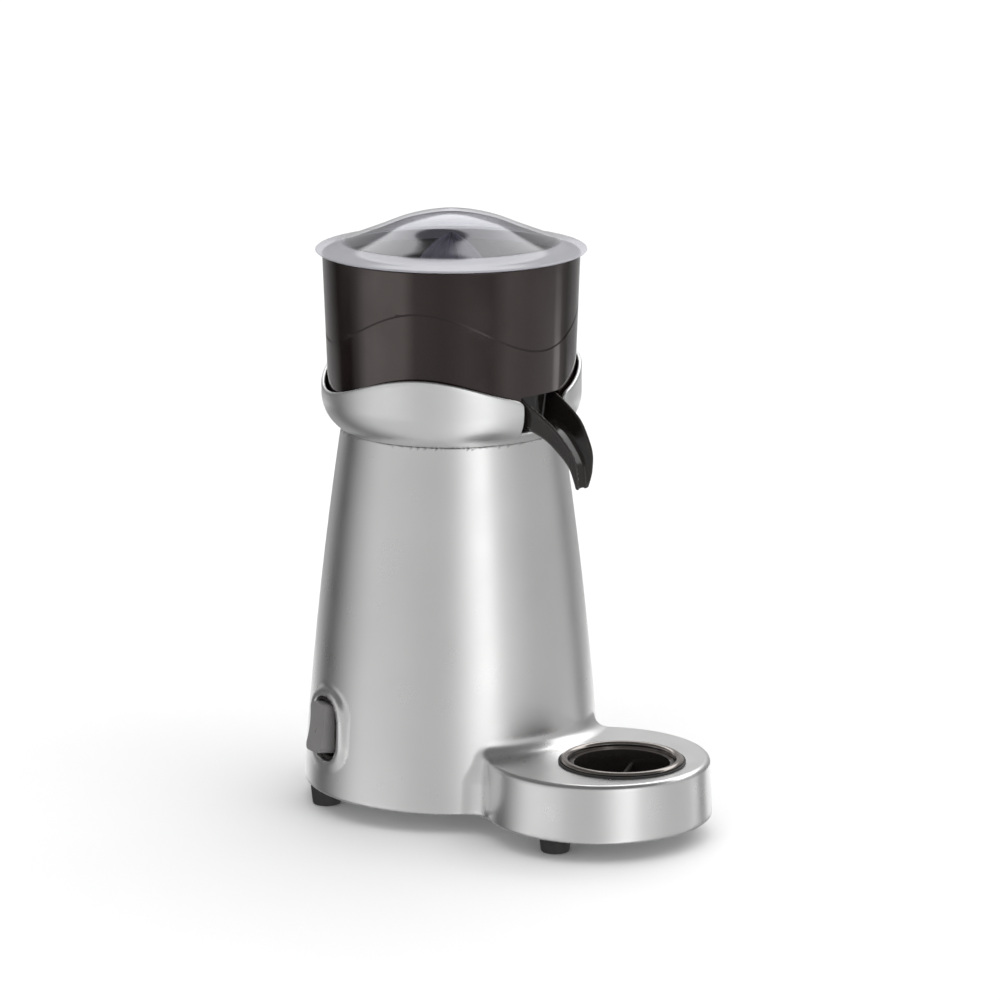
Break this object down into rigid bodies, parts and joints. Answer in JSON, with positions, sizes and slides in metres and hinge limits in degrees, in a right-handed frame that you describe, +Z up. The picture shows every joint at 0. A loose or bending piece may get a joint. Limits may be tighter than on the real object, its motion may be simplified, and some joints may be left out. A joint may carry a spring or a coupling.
{
  "type": "citrus press juicer",
  "caption": "Electric citrus press: tapered cast body with a cup tray, motor-driven ribbed reamer in a smoked bowl, strainer, curved pouring spout, domed lid and rocker switch.",
  "frame": {"origin": "centre of the footprint's bounding box, on the surface the feet stand on", "axes": "+Z up, -Y towards the spout and the cup tray, +X to the right seen from the front"},
  "size_m": [0.1862, 0.289, 0.3634],
  "materials": {
    "cast_aluminium": "satin",
    "collar_aluminium": "satin",
    "machined_aluminium": "satin",
    "plated_steel": "satin",
    "core_steel": "satin",
    "sieve_steel": "satin",
    "shaft_steel": "polished",
    "copper_winding": "satin",
    "terminal_brass": "satin",
    "trim_metal": "satin",
    "black_rubber": "matte",
    "black_plastic": "gloss",
    "rocker_plastic": "satin",
    "smoked_bowl": "gloss",
    "clear_smoked": "gloss",
    "reamer_plastic": "gloss",
    "white_plastic": "satin",
    "washer_plastic": "satin"
  },
  "bodies": {
    "base": {"body_housing": "cast_aluminium", "cradle_collar": "collar_aluminium", "motor_deck": "machined_aluminium", "base_plate": "plated_steel", "foot_front_left": "black_rubber", "foot_front_right": "black_rubber", "foot_rear_left": "black_rubber", "foot_rear_right": "black_rubber", "foot_screws": "plated_steel", "deck_screws": "plated_steel", "collar_screws": "plated_steel", "cup_ring_seal": "black_rubber", "cup_ring": "trim_metal", "switch_frame": "black_plastic", "rocker_pin": "plated_steel", "switch_terminals": "terminal_brass", "cable_gland": "black_plastic", "gland_nut": "black_plastic", "run_capacitor": "white_plastic", "capacitor_clip": "plated_steel", "terminal_block": "white_plastic", "terminal_screws": "terminal_brass", "lower_end_shield": "machined_aluminium", "upper_end_shield": "machined_aluminium", "stator_core": "core_steel", "stator_windings": "copper_winding", "tie_bolts": "plated_steel", "deck_spacers": "plated_steel", "lower_bearing_outer_ring": "shaft_steel", "lower_bearing_balls": "shaft_steel", "upper_bearing_outer_ring": "shaft_steel", "upper_bearing_balls": "shaft_steel", "shaft_seal": "black_rubber"},
    "rotor": {"motor_shaft": "shaft_steel", "rotor_core": "core_steel", "cooling_fan": "black_plastic", "lower_bearing_inner_ring": "shaft_steel", "upper_bearing_inner_ring": "shaft_steel", "shaft_slinger": "black_rubber"},
    "bowl": {"bowl": "smoked_bowl", "spout_chute": "black_plastic"},
    "strainer": {"strainer": "sieve_steel"},
    "reamer_washer": {"thrust_washer": "washer_plastic"},
    "reamer": {"reamer": "reamer_plastic"},
    "lid": {"lid": "clear_smoked"},
    "rocker": {"rocker_button": "rocker_plastic"},
    "drip_cup": {"drip_cup": "black_plastic"}
  },
  "joints": [
    {"name": "rotor_spin", "type": "hinge", "parent": "base", "child": "rotor", "pos_m": [0.00226, 0.0445, 0.15], "axis": [0, 0, 1], "continuous": true},
    {"name": "bowl_lift", "type": "slide", "parent": "base", "child": "bowl", "axis": [0, 0, 1], "range_m": [0, 0.1]},
    {"name": "strainer_lift", "type": "slide", "parent": "bowl", "child": "strainer", "axis": [0, 0, 1], "range_m": [0, 0.09]},
    {"name": "reamer_lift", "type": "slide", "parent": "strainer", "child": "reamer_washer", "axis": [0, 0, 1], "range_m": [0, 0.08]},
    {"name": "reamer_spin", "type": "hinge", "parent": "reamer_washer", "child": "reamer", "pos_m": [0.00226, 0.0445, 0.3], "axis": [0, 0, 1], "continuous": true},
    {"name": "lid_lift", "type": "slide", "parent": "reamer_washer", "child": "lid", "axis": [0, 0, 1], "range_m": [0, 0.06]},
    {"name": "rocker_tilt", "type": "hinge", "parent": "base", "child": "rocker", "pos_m": [-0.07637, 0.06779, 0.053], "axis": [-0.284, -0.9588, 0], "range_deg": [0, 16]},
    {"name": "drip_cup_lift", "type": "slide", "parent": "base", "child": "drip_cup", "axis": [0, 0, 1], "range_m": [0, 0.06]}
  ],
  "couplings": [
    {"joint": "reamer_spin", "follows": "rotor_spin", "ratio": 1}
  ]
}
